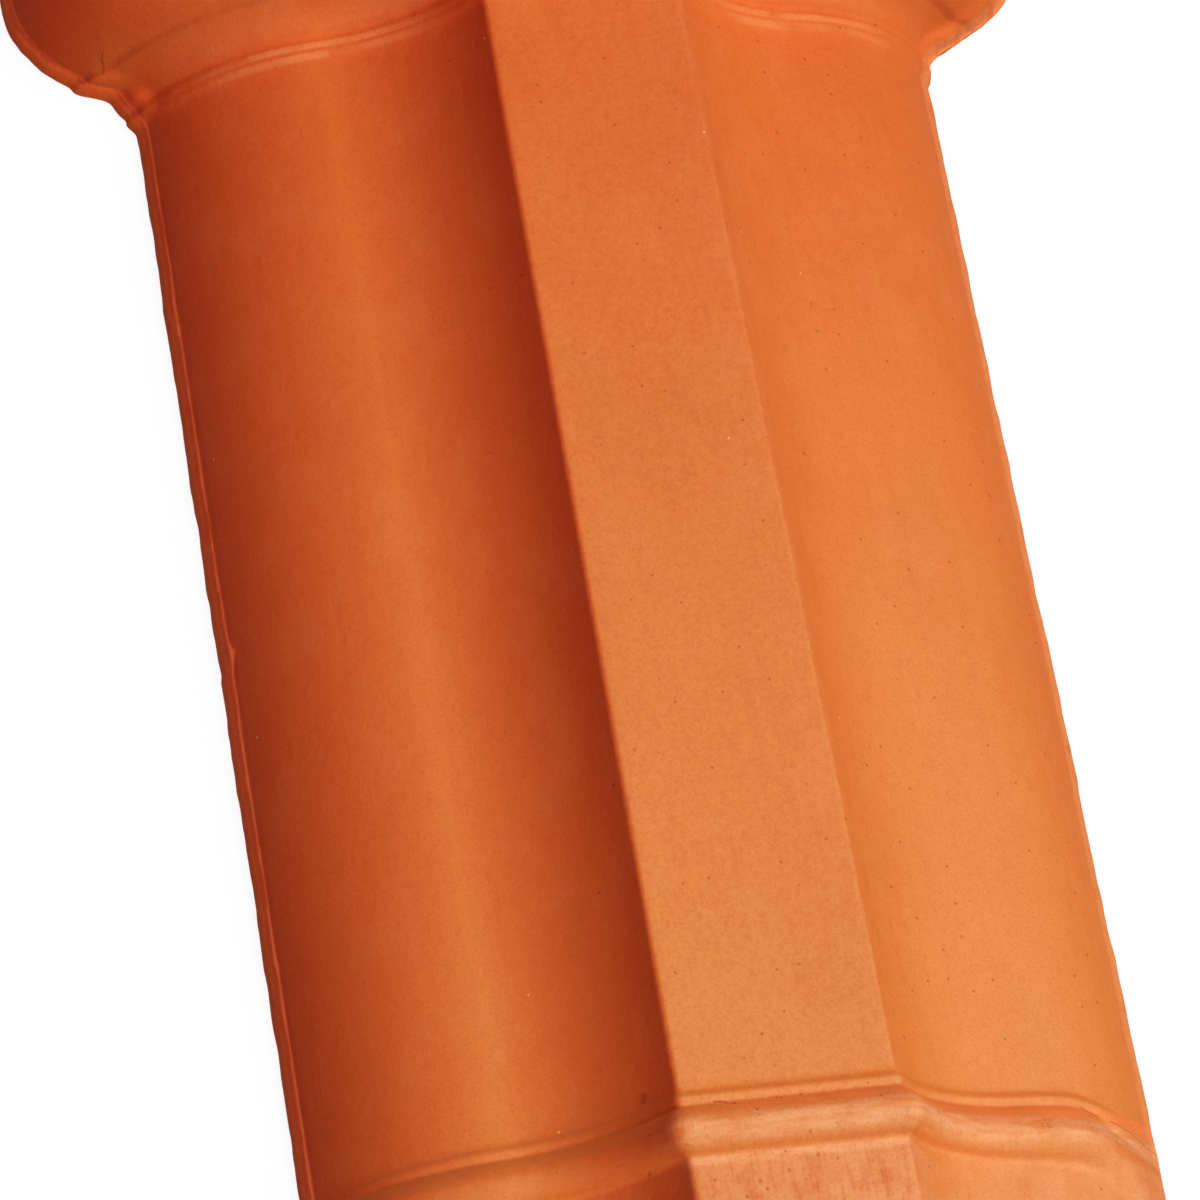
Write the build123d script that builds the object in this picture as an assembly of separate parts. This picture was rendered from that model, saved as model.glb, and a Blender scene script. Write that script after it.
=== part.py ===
# Clay ridge tile: one pressed and fired piece, a flat-crested arch with a spigot at one end
# and a flared collar at the other. X runs across the ridge, Y along it, +Z is up.
# The tile lies on its two feet at z = 0, spigot end at -Y, collar end at +Y.
import os
from math import cos, radians, sin, sqrt

from build123d import *

# The arch, in cross-section
body_width = 230.0        # over the lips at the feet
crest_width = 55.2        # the flat strip along the top
crest_height = 66.6
crest_fall = 61.0         # degrees, slope of the cove where it leaves the crest
shoulder_radius = 62.6    # convex roll of each wing
shoulder_drop = 23.5      # the roll's centre lies this far below the feet
wall = 12.0               # clay thickness

# The lip of trimmed clay along each foot
lip_width = 2.3
lip_height = 5.0
lip_lean = 13.0           # degrees, lean of the lip's outer face
lip_sweep = 15.0          # radius by which the lip turns out to the collar

# Lengths along the ridge
body_length = 317.5       # plain arch between the two sets of mouldings
spigot_length = 30.0      # tail beyond the stop bead, under the next tile's collar
collar_land = 40.0        # straight run of the collar from the bell to the mouth

# Fine flat-topped listels beside the bead and at the root of the collar
listel_width = 3.3
listel_top = 1.5
listel_height = 1.2

# Stop bead across the arch at the spigot end
bead_width = 13.2
bead_height = 5.6
bead_foot = 0.8           # what is left of its height at the lips

# The collar: a hollow cove, a crease, then a round bell
cove_length = 9.2
cove_sag = 1.6            # depth of the cove's curve below its chord
crease_rise = 12.4        # one wall and a clearance above the arch
bell_length = 28.8
bell_rise = 30.5

overrun = 10.0            # by how much cutting shapes run past what they cut

# Places along the ridge, from the middle of the plain arch
listel_slope = (listel_width - listel_top) / 2
near_listel = -body_length / 2 - listel_width
spigot_root = near_listel - bead_width
spigot_end = spigot_root - spigot_length
far_listel = body_length / 2
cove_start = far_listel + listel_width + listel_slope
crease = cove_start + cove_length
bell_top = crease + bell_length
mouth = bell_top + collar_land
middle = (spigot_end + mouth) / 2
collar_height = crest_height + bell_rise

# Centres of the two arcs of a wing: the shoulder, and the cove that falls from the crest to it
foot_depth = shoulder_drop + lip_height
foot_x = body_width / 2 - lip_width
shoulder_centre = Vector(foot_x - sqrt(shoulder_radius**2 - foot_depth**2), -shoulder_drop)
crest_corner = Vector(crest_width / 2, crest_height)
fall_normal = Vector(sin(radians(crest_fall)), cos(radians(crest_fall)))
reach = crest_corner - shoulder_centre
power = reach.dot(reach) - shoulder_radius**2
wing_cove_radius = power / (2 * (shoulder_radius - reach.dot(fall_normal)))
wing_cove_centre = crest_corner + fall_normal * wing_cove_radius

# Arcs of the collar's profile, drawn as rise above the arch against place along the ridge
cove_foot = Vector(listel_height, cove_start)
crease_point = Vector(crease_rise, crease)
cove_chord = crease_point - cove_foot
cove_side = Vector(-cove_chord.Y, cove_chord.X).normalized()
cove_mid = cove_foot + cove_chord / 2 + cove_side * cove_sag
cove_radius = ((cove_chord.length / 2) ** 2 + cove_sag**2) / (2 * cove_sag)
bell_step = bell_rise - crease_rise
bell_radius = (bell_length**2 + bell_step**2) / (2 * bell_step)
bell_centre = Vector(bell_rise - bell_radius, bell_top)


def on_circle(centre, radius, towards):
    """Point of a circle that lies in the direction of another point."""
    return centre + (towards - centre).normalized() * radius


def wing(rise):
    """Points of one wing, from below its foot to the crest, on the arch's parallel at that rise."""
    shoulder = shoulder_radius + rise
    cove = wing_cove_radius - rise
    height = crest_height + rise
    start = shoulder_centre + Vector(shoulder, 0)
    joint = on_circle(shoulder_centre, shoulder, wing_cove_centre)
    shoulder_mid = on_circle(shoulder_centre, shoulder, start + (joint - start) / 2)
    top = Vector(wing_cove_centre.X - sqrt(cove**2 - (wing_cove_centre.Y - height) ** 2), height)
    cove_mid_point = on_circle(wing_cove_centre, cove, joint + (top - joint) / 2)
    return start, shoulder_mid, joint, cove_mid_point, top


def arch_line(rise):
    """The arch in cross-section: shoulder, cove, crest, cove, shoulder."""
    start, shoulder_mid, joint, cove_mid_point, top = wing(rise)
    side = ThreePointArc(start, shoulder_mid, joint) + ThreePointArc(joint, cove_mid_point, top)
    crest = Line(top, Vector(-top.X, top.Y))
    return side + crest + mirror(side, Plane.YZ)


def bar(section, low_y, high_y):
    """Solid bar of one section between two places along the ridge."""
    return extrude(Plane.XZ.offset(-low_y) * make_face(section), -(high_y - low_y))


def arch_bar(rise, low_y, high_y):
    """Solid bar with the arch's section."""
    start = wing(rise)[0]
    return bar(arch_line(rise) + Line(start, Vector(-start.X, start.Y)), low_y, high_y)


def over_the_arch(outline, sunk):
    """Closes a profile through a line sunk below the arch and sweeps it from foot to foot."""
    first, last = outline.wires()[0] @ 0, outline.wires()[0] @ 1
    back = Polyline(last, Vector(-sunk, last.Y), Vector(-sunk, first.Y), first)
    start = wing(0)[0]
    plane = Plane((start.X, 0, start.Y), x_dir=(1, 0, 0), z_dir=(0, 0, 1))
    path = Plane.XZ * arch_line(0)
    return sweep(plane * make_face(outline + back), path=path, transition=Transition.RIGHT)


def listel(place):
    """Flat-topped moulding's profile, from its place on towards the collar."""
    low, high = place + listel_slope, place + listel_width - listel_slope
    return Polyline((0, place), (listel_height, low), (listel_height, high), (0, place + listel_width))


def lip_x(rise):
    """Half width over the lips where the arch has that rise."""
    return shoulder_centre.X + sqrt((shoulder_radius + rise) ** 2 - foot_depth**2) + lip_width


def plan_arc(start, mid, end):
    """Edge of the footprint under an arc of the collar's profile."""
    return ThreePointArc(*[(lip_x(point.X), point.Y) for point in (start, mid, end)])


# Outside: the arch, and the listel, cove and bell of the collar
bell_mid = on_circle(bell_centre, bell_radius, crease_point + Vector(bell_step, bell_length) / 2)
bell_crown = Vector(bell_rise, bell_top)
collar = listel(far_listel)
collar += Line(Vector(0, far_listel + listel_width), cove_foot)
collar += ThreePointArc(cove_foot, cove_mid, crease_point)
collar += ThreePointArc(crease_point, bell_mid, bell_crown)
collar += Line(bell_crown, Vector(bell_rise, mouth))
outside = arch_bar(0, spigot_end, mouth) + over_the_arch(collar, wall / 2)

# The stop bead and its listel die out towards the feet, on a flat that keeps to the arch's slope there
bead_top = Vector(bead_height, spigot_root + bead_width / 2)
stop_bead = ThreePointArc((0, spigot_root), bead_top, (0, near_listel)) + listel(near_listel)
foot_slope = Vector(foot_x, lip_height) - shoulder_centre
bead_end = foot_x + bead_foot * shoulder_radius / foot_slope.X
bead_peak = lip_height + bead_end * foot_slope.X / foot_slope.Y
bead_flats = Polyline((bead_end, lip_height), (0, bead_peak), (-bead_end, lip_height))
bead_flats += Polyline(
    (-bead_end, lip_height), (-bead_end, lip_height / 2), (bead_end, lip_height / 2), (bead_end, lip_height)
)
outside += over_the_arch(stop_bead, wall / 2) & bar(bead_flats, spigot_end, far_listel)

# Footprint: trims the bell flush with the lips, and gives the lips themselves
low_end, high_end = spigot_end - overrun, mouth + overrun
arch_half, collar_half = lip_x(0), lip_x(bell_rise)
right_edge = Line((arch_half, low_end), (arch_half, far_listel))
right_edge += plan_arc(Vector(0, far_listel), cove_mid, crease_point)
right_edge += plan_arc(crease_point, bell_mid, bell_crown)
right_edge += Line((collar_half, bell_top), (collar_half, high_end))
ends = Line((arch_half, low_end), (-arch_half, low_end))
ends += Line((collar_half, high_end), (-collar_half, high_end))
footprint = make_face(right_edge + mirror(right_edge, Plane.YZ) + ends)
collar_roots = footprint.vertices().filter_by_position(Axis.Y, far_listel, far_listel)
footprint = fillet(collar_roots, lip_sweep)
lips = extrude(footprint, lip_height, taper=lip_lean)
lips &= Pos(0, middle, 0) * Box(2 * collar_half + overrun, mouth - spigot_end, 2 * collar_height)
tile = outside & extrude(footprint, collar_height + overrun)
tile += lips

# Hollow: one wall inside the arch, with an even wall round the flare of the collar
hollow_top = Vector(bell_rise - wall, bell_top)
flare_radius = cove_radius + wall
crown_radius = bell_radius - wall
flare_x = flare_radius - wall
flare_run = sqrt((flare_radius + crown_radius) ** 2 - (flare_x - bell_centre.X) ** 2)
flare_centre = Vector(flare_x, bell_top - flare_run)
flare_start = flare_centre - Vector(flare_radius, 0)
flare_joint = on_circle(flare_centre, flare_radius, bell_centre)
flare_mid = on_circle(flare_centre, flare_radius, flare_start + (flare_joint - flare_start) / 2)
crown_mid = on_circle(bell_centre, crown_radius, flare_joint + (hollow_top - flare_joint) / 2)
socket = ThreePointArc(flare_start, flare_mid, flare_joint)
socket += ThreePointArc(flare_joint, crown_mid, hollow_top)
socket += Line(hollow_top, Vector(hollow_top.X, mouth + overrun))
tile -= arch_bar(-wall, spigot_end - overrun, mouth + overrun)
tile -= over_the_arch(socket, wall + overrun)

os.makedirs("parts", exist_ok=True)
export_step(Pos(0, -middle, 0) * tile, "parts/ridge_tile.step")
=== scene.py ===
import math

import bpy
import numpy as np
from mathutils import Matrix, Vector


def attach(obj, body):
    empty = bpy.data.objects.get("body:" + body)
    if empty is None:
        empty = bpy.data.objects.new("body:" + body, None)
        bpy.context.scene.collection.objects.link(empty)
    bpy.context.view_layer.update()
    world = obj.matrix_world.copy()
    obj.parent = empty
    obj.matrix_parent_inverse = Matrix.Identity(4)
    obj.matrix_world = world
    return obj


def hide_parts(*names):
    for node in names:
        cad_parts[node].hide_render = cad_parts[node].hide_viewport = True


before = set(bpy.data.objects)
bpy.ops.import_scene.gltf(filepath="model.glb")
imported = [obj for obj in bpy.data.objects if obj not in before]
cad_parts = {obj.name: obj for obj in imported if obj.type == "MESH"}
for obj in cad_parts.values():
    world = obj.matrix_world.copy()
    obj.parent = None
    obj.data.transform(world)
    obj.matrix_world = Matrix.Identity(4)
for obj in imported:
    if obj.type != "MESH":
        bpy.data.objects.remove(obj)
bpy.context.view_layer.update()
print("frame loaded:", sorted(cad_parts))

mmPerMetre = 1000


def hexToLinear(code):
    # sRGB hex to the linear colour that shaders take
    parts = [int(code[i:i + 2], 16) / 255 for i in (1, 3, 5)]
    return [p / 12.92 if p <= 0.04045 else ((p + 0.055) / 1.055) ** 2.4 for p in parts] + [1.0]


def addNode(tree, kind, settings=None, links=None):
    # settings are properties, or values of sockets by name or number; links go from a socket to an input
    node = tree.nodes.new(kind)
    for key, value in (settings or {}).items():
        if isinstance(key, int) or key in node.inputs:
            node.inputs[key].default_value = value
        else:
            setattr(node, key, value)
    for key, socket in (links or {}).items():
        tree.links.new(socket, node.inputs[key])
    return node


def seenByEye(tree):
    # 1 where the eye looks, straight or by way of something shiny or clear
    path = addNode(tree, "ShaderNodeLightPath")
    seen = path.outputs["Is Camera Ray"]
    for ray in ("Is Glossy Ray", "Is Transmission Ray"):
        both = {0: seen, 1: path.outputs[ray]}
        seen = addNode(tree, "ShaderNodeMath", {"operation": "MAXIMUM"}, both).outputs[0]
    return seen


def lookFrom(azimuth, elevation):
    # direction from the tile to a lamp or to the eye
    a, e = math.radians(azimuth), math.radians(elevation)
    return Vector((math.sin(a) * math.cos(e), -math.cos(a) * math.cos(e), math.sin(e)))


# the tile's own measures in mm, as in the solid; y counts from the middle of the plain arch
shape = {
    "crestHalf": 27.6,
    "crestHeight": 66.6,
    "crestFall": 61.0,         # degrees, slope of the cove at the crest
    "shoulderRadius": 62.6,
    "shoulderDrop": 23.5,
    "bodyHalf": 115.0,
    "lipWidth": 2.3,
    "lipHeight": 5.0,
    "wall": 12.0,
    "archHalfLength": 158.75,
    "spigotEnd": -205.25,
    "mouth": 240.95,
    "middle": 17.85,           # the row's origin lies here
    "beadWidth": 13.2,
    "beadHeight": 5.6,
    "listelWidth": 3.3,
    "listelSlope": 0.9,
    "listelHeight": 1.2,
    "coveFoot": (162.95, 1.2),     # place and rise, as in the next ones
    "coveSag": 1.6,
    "crease": (172.15, 12.4),
    "bellTop": (200.95, 30.5),
}

# how the pressed clay came out: soft arrises, dragged mouldings and slow waves in the skin
handwork = {
    "crestRound": 1.3,
    "hollowRound": 2.0,
    "endRound": 1.0,
    "mouldingSoftness": 0.5,
    "lipSoftness": 0.9,
    "hollowSoftness": 1.0,
    "crestTaper": 0.7,         # the crest is this much wider at the spigot and narrower at the collar
    "crestRight": 0.6,         # and its right edge lies a little further out
    # place and rise along the second fine edge beside the collar's listel
    "collarEdge": [(156.9, 0.0), (158.9, 1.15), (159.4, 1.15), (160.0, 0.85),
                   (160.6, 1.40), (161.9, 1.55), (163.6, 1.2), (164.6, 0.0)],
    "nicks": [(0.9, 172.3, 0.5), (0.5, 164.0, 0.7)],   # depth, place and width: crease, foot of the cove
    "beadDrag": 0.7,           # the bead's side towards the listel was dragged flatter
    "dragRun": 0.3,
    "dragCurve": 1.6,
    "beadCorner": 2.4,         # more rounding where the bead turns over the edges of the crest
    "nearListel": 0.4,         # the listel beside the bead was smeared this much wider
    "waves": [(51, 0.10, 26.0), (52, 0.03, 8.0)],      # seed, height and length of the skin's waves
    "hollowWaves": 1.5,        # how much higher they are inside
    "waveFoot": 6.0,           # they die out below this height
}

# each trimmed lip: a brow that falls to an outer face with some lean, and how the bead ends above it;
# bumps and flakes have a size, a place and a spread
lips = {
    "right": {
        "seed": 11, "inset": 0.75, "lean": 1.3, "undercut": 2.8, "belly": 0.6,
        "browHeight": 9.5, "browFall": 3.2, "blend": 2.4,
        "beadReach": 36.0, "beadSwing": 6.0, "beadSlip": 3.5, "beadRunOut": 0.75, "beadEnd": 0.22,
        "bumps": [(1.7, 165.0, 3.6), (3.4, 168.8, 2.4), (1.6, 159.5, 2.6), (1.9, 172.0, 3.0),
                  (2.0, 178.0, 8.0)],
        "flakes": [],
    },
    "left": {
        "seed": 21, "inset": 0.0, "lean": 2.1, "undercut": 0.0, "belly": 0.12,
        "browHeight": 6.1, "browFall": 0.25, "blend": 1.0,
        "beadReach": 26.0, "beadSwing": 0.0, "beadSlip": 0.0, "beadRunOut": 0.4, "beadEnd": 0.10,
        "bumps": [(2.2, 164.0, 4.0), (3.4, 171.2, 1.6), (1.7, 160.6, 1.5), (-0.5, -6.5, 1.3)],
        "flakes": [(1.3, -3.5, 2.4)],      # pressed up half way along
    },
}

# what the two lips share, in mm or as a share of a run
lipForm = {
    "rag": [(0.16, 17.0), (0.14, 6.0), (0.10, 3.4)],   # the trimmed edge wanders: size and spacing
    "cornerRag": (0.34, 2.3),                          # and more at the corners of the collar
    "cornerRun": (154.0, 160.0, 182.0, 190.0),
    "browWander": (0.25, 14.0),
    "browTurn": (155.0, 166.0),                        # where the brow comes down to the collar's
    "collarBrow": 6.1,
    "undercutRun": (158.0, 164.5, 188.0, 204.0),
    "bumpOnFoot": 0.88,        # a bump takes the foot of the wing with it
    "leastBrow": 0.3,
    "lowBrow": 5.5,            # a brow this low hardly falls
    "leastFall": 0.2,
    "toe": 0.6,
    "toeBack": 0.5,
    "bellyHeight": 0.65,
    "faceRound": 0.2,
    "browRound": 0.22,
    "browFlat": 0.60,
    "rollGap": 1.2,
    "riseBlend": 6.0,
    "slipReach": 90.0,
    "slipEdge": 7.0,
}

# rings along the ridge, close over the mouldings and wider on the plain runs, and points round each ring
spacing = {
    "plainGap": 2.1,
    "closeRuns": [(-179.5, -156.5, 0.55), (156.5, 176.0, 0.55), (176.0, 203.0, 1.1)],  # from, to and gap
    "gapBlend": 1.5,
    "fineStep": 0.05,
    "lip": {"toe": 4, "face": 7, "edge": 4, "brow": 2, "blend": 6},
    "outside": {"shoulder": 44, "cove": 34, "crest": 13, "corner": 7},
    "hollow": {"shoulder": 14, "cove": 11, "crest": 3, "corner": 4},
    "endTurns": [90.0, 60.0, 30.0],
}

# centres of the two arcs of a wing, and where they meet
fall = math.radians(shape["crestFall"])
normalX, normalZ = math.sin(fall), math.cos(fall)
lipDepth = shape["shoulderDrop"] + shape["lipHeight"]
shoulderX = shape["bodyHalf"] - shape["lipWidth"] - math.sqrt(shape["shoulderRadius"] ** 2 - lipDepth ** 2)
shoulderZ = -shape["shoulderDrop"]
reachX, reachZ = shape["crestHalf"] - shoulderX, shape["crestHeight"] - shoulderZ
power = reachX ** 2 + reachZ ** 2 - shape["shoulderRadius"] ** 2
coveRadius = power / (2 * (shape["shoulderRadius"] - reachX * normalX - reachZ * normalZ))
coveX, coveZ = shape["crestHalf"] + normalX * coveRadius, shape["crestHeight"] + normalZ * coveRadius
jointAngle = math.atan2(coveZ - shoulderZ, coveX - shoulderX)
jointX = shoulderX + shape["shoulderRadius"] * math.cos(jointAngle)
jointZ = shoulderZ + shape["shoulderRadius"] * math.sin(jointAngle)
beadTop = -shape["archHalfLength"] - shape["listelWidth"]
beadMiddle = beadTop - shape["beadWidth"] / 2


def smooth(low, high, values):
    t = np.clip((values - low) / (high - low), 0, 1)
    return t * t * (3 - 2 * t)


def between(y, start, full, fading, end):
    # 1 on a stretch along the ridge, with soft ends
    return smooth(start, full, y) * smooth(-end, -fading, -y)


def mound(y, size, place, spread):
    return size * np.exp(-((y - place) / spread) ** 2)


def waver(seed, places, gap):
    # smooth seeded noise along a line, from -1 to 1
    knotCount, offset = 512, 137.0
    knots = np.random.default_rng(seed).uniform(-1, 1, knotCount)
    t = np.asarray(places) / gap + offset
    i = np.floor(t).astype(int)
    f = t - i
    f = f * f * (3 - 2 * f)
    return knots[i % knotCount] * (1 - f) + knots[(i + 1) % knotCount] * f


def hills(seed, u, v, gap):
    # the same over a surface
    knotCount, offset = 256, 90.0
    knots = np.random.default_rng(seed).uniform(-1, 1, (knotCount, knotCount))
    a, b = u / gap + offset, v / gap + offset
    i, j = np.floor(a).astype(int), np.floor(b).astype(int)
    f, g = a - i, b - j
    f, g = f * f * (3 - 2 * f), g * g * (3 - 2 * g)
    nextI, nextJ = (i + 1) % knotCount, (j + 1) % knotCount
    i, j = i % knotCount, j % knotCount
    low = knots[i, j] * (1 - f) + knots[nextI, j] * f
    high = knots[i, nextJ] * (1 - f) + knots[nextI, nextJ] * f
    return low * (1 - g) + high * g


def soften(values, step, width):
    # rounds a profile's corners by a running weight, four widths to each side
    n = int(4 * width / step)
    weight = np.exp(-0.5 * (np.arange(-n, n + 1) * step / width) ** 2)
    padded = np.concatenate([np.full(n, values[0]), values, np.full(n, values[-1])])
    return np.convolve(padded, weight / weight.sum(), "valid")


def arcRise(y, start, end, sag):
    # rise of an arc through two points of the profile; a positive sag hangs below the chord
    run, climb = end[0] - start[0], end[1] - start[1]
    chord = math.hypot(run, climb)
    radius = (chord ** 2 / 4 + sag ** 2) / (2 * abs(sag))
    away = math.copysign(radius, sag) - sag
    centreY = (start[0] + end[0]) / 2 - climb / chord * away
    centreRise = (start[1] + end[1]) / 2 + run / chord * away
    return centreRise - math.copysign(1, sag) * np.sqrt(np.maximum(radius ** 2 - (y - centreY) ** 2, 0))


def listelRise(y, place):
    up = np.clip((y - place) / shape["listelSlope"], 0, 1)
    down = np.clip((place + shape["listelWidth"] - y) / shape["listelSlope"], 0, 1)
    return shape["listelHeight"] * np.minimum(up, down)


def beadRise(y):
    # the stop bead and the listel beside it
    squeeze = shape["listelWidth"] / (shape["listelWidth"] + handwork["nearListel"])
    rise = listelRise(beadTop + (y - beadTop) * squeeze, beadTop)
    onBead = (y > beadTop - shape["beadWidth"]) & (y < beadTop)
    full = arcRise(y[onBead], (beadTop - shape["beadWidth"], 0.0), (beadTop, 0.0), -shape["beadHeight"])
    off = np.maximum(y[onBead] - beadMiddle, 0) / (beadTop - beadMiddle)
    drag = handwork["beadDrag"] * smooth(0, handwork["dragRun"], off)
    rise[onBead] += full * (1 - drag) + shape["beadHeight"] * (1 - off ** handwork["dragCurve"]) * drag
    return rise


def collarRise(y):
    # cove, crease and bell
    rise = np.zeros_like(y)
    foot, crease, top = shape["coveFoot"], shape["crease"], shape["bellTop"]
    start = shape["archHalfLength"] + shape["listelWidth"]
    run = (y > start) & (y <= foot[0])
    rise[run] = foot[1] * (y[run] - start) / (foot[0] - start)
    cove = (y > foot[0]) & (y <= crease[0])
    rise[cove] = arcRise(y[cove], foot, crease, shape["coveSag"])
    bell = (y > crease[0]) & (y < top[0])
    step = top[1] - crease[1]
    bellRadius = ((top[0] - crease[0]) ** 2 + step ** 2) / (2 * step)
    rise[bell] = top[1] - bellRadius + np.sqrt(bellRadius ** 2 - (y[bell] - top[0]) ** 2)
    rise[y >= top[0]] = top[1]
    return rise


def innerRise(y):
    # the hollow keeps one wall, and an even wall round the flare of the collar
    foot, crease, top, wall = shape["coveFoot"], shape["crease"], shape["bellTop"], shape["wall"]
    step = top[1] - crease[1]
    crown = ((top[0] - crease[0]) ** 2 + step ** 2) / (2 * step) - wall
    chord = math.hypot(crease[0] - foot[0], crease[1] - foot[1])
    flare = (chord ** 2 / 4 + shape["coveSag"] ** 2) / (2 * shape["coveSag"]) + wall
    crownRise = top[1] - wall - crown
    flareRise = flare - wall
    run = math.sqrt((flare + crown) ** 2 - (flareRise - crownRise) ** 2)
    jointY = top[0] - run + run * flare / (flare + crown)
    rise = np.full_like(y, -wall)
    low = (y > top[0] - run) & (y <= jointY)
    rise[low] = flareRise - np.sqrt(flare ** 2 - (y[low] - top[0] + run) ** 2)
    high = (y > jointY) & (y < top[0])
    rise[high] = crownRise + np.sqrt(crown ** 2 - (y[high] - top[0]) ** 2)
    rise[y >= top[0]] = top[1] - wall
    return rise


# profiles along the ridge, drawn fine and then softened
fineStep = spacing["fineStep"]
fineY = np.arange(shape["spigotEnd"], shape["mouth"] + fineStep, fineStep)
fineBead = soften(beadRise(fineY), fineStep, handwork["mouldingSoftness"])
fineCollar = np.maximum(collarRise(fineY), np.interp(fineY, *zip(*handwork["collarEdge"])))
for nick in handwork["nicks"]:
    fineCollar = fineCollar - mound(fineY, *nick)
fineCollar = soften(fineCollar, fineStep, handwork["mouldingSoftness"])
fineLip = soften(collarRise(fineY), fineStep, handwork["lipSoftness"])
fineInner = soften(innerRise(fineY), fineStep, handwork["hollowSoftness"])

# places of the rings, by the way travelled over the profile
ringGap = np.full_like(fineY, spacing["plainGap"])
for low, high, gap in spacing["closeRuns"]:
    ringGap[(fineY > low) & (fineY < high)] = gap
ringGap = soften(ringGap, fineStep, spacing["gapBlend"])
climb = np.hypot(np.gradient(fineBead + fineCollar, fineStep), 1.0)
travelled = np.cumsum(climb / ringGap) * fineStep
ringCount = int(travelled[-1])
ringY = np.interp(np.linspace(travelled[0], travelled[-1], ringCount), travelled, fineY)


def column(values):
    return np.asarray(values, float).reshape(-1, 1)


collar = column(np.interp(ringY, fineY, fineCollar))
rise = collar + column(np.interp(ringY, fineY, fineBead))
footRise = column(np.interp(ringY, fineY, fineLip))
inner = column(np.interp(ringY, fineY, fineInner))


def bend(before, corner, after, count):
    # soft corner between two runs
    t = np.linspace(0, 1, count)
    pull = 2 * t * (1 - t)
    return tuple(b * (1 - t) ** 2 + c * pull + a * t ** 2 for b, c, a in zip(before, corner, after))


def along(start, end, count):
    # points strictly between two places
    t = np.linspace(0, 1, count + 2)[1:-1]
    return tuple(s * (1 - t) + e * t for s, e in zip(start, end))


def partWay(start, end, share):
    return tuple(s + share * (e - s) for s, e in zip(start, end))


def beadNearLip(fromLip, lip):
    # towards the lip the bead swings to the spigot, sinks, and its lower side runs out
    near = 1 - smooth(0, lip["beadReach"], fromLip)
    place = column(ringY) + lip["beadSwing"] * near
    # its body slips a little that way from further in
    slip = 1 - smooth(0, lipForm["slipReach"], fromLip)
    slip = slip * smooth(-beadTop, lipForm["slipEdge"] - beadTop, -column(ringY))
    place = place + lip["beadSlip"] * slip
    place = place - np.minimum(place - beadMiddle, 0) * lip["beadRunOut"] * near
    return np.interp(place, fineY, fineBead) * (1 - (1 - lip["beadEnd"]) * near)


def shoulderRun(riseAt, startAngle, count):
    # the convex roll of a wing, up to where the cove takes over
    t = np.linspace(0, 1, count)
    angle = startAngle * (1 - t) + jointAngle * t
    shoulder = shape["shoulderRadius"] + riseAt((angle - startAngle) * shape["shoulderRadius"])
    return shoulderX + shoulder * np.cos(angle), shoulderZ + shoulder * np.sin(angle)


def crestRun(rise, counts, crestRound):
    # cove, crest corner and half the crest, on the arch's parallel at that rise
    cove = coveRadius - rise
    height = shape["crestHeight"] + rise
    endAngle = np.where(rise >= 0, math.pi / 2 - fall, np.arcsin(np.clip((coveZ - height) / cove, -1, 1)))
    spare = np.where(rise >= 0, rise * math.tan(fall / 2), 0.0)
    cornerX = np.where(rise >= 0, shape["crestHalf"] + spare, coveX - cove * np.cos(endAngle))
    arcLength = cove * (jointAngle - endAngle)
    gone = (arcLength + spare - crestRound) * np.linspace(0, 1, counts["cove"] + 2)[1:-1]
    angle = jointAngle - np.minimum(gone, arcLength) / cove
    extra = np.maximum(gone - arcLength, 0)
    runX = coveX - cove * np.cos(angle) - extra * math.cos(fall)
    runZ = coveZ - cove * np.sin(angle) + extra * math.sin(fall)
    low = (cornerX + crestRound * np.sin(endAngle), height - crestRound * np.cos(endAngle))
    high = (cornerX - crestRound, height)
    corner = bend(low, (cornerX, height), high, counts["corner"])
    return [(runX, runZ), corner, along(high, (0 * cornerX, height), counts["crest"])]


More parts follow.
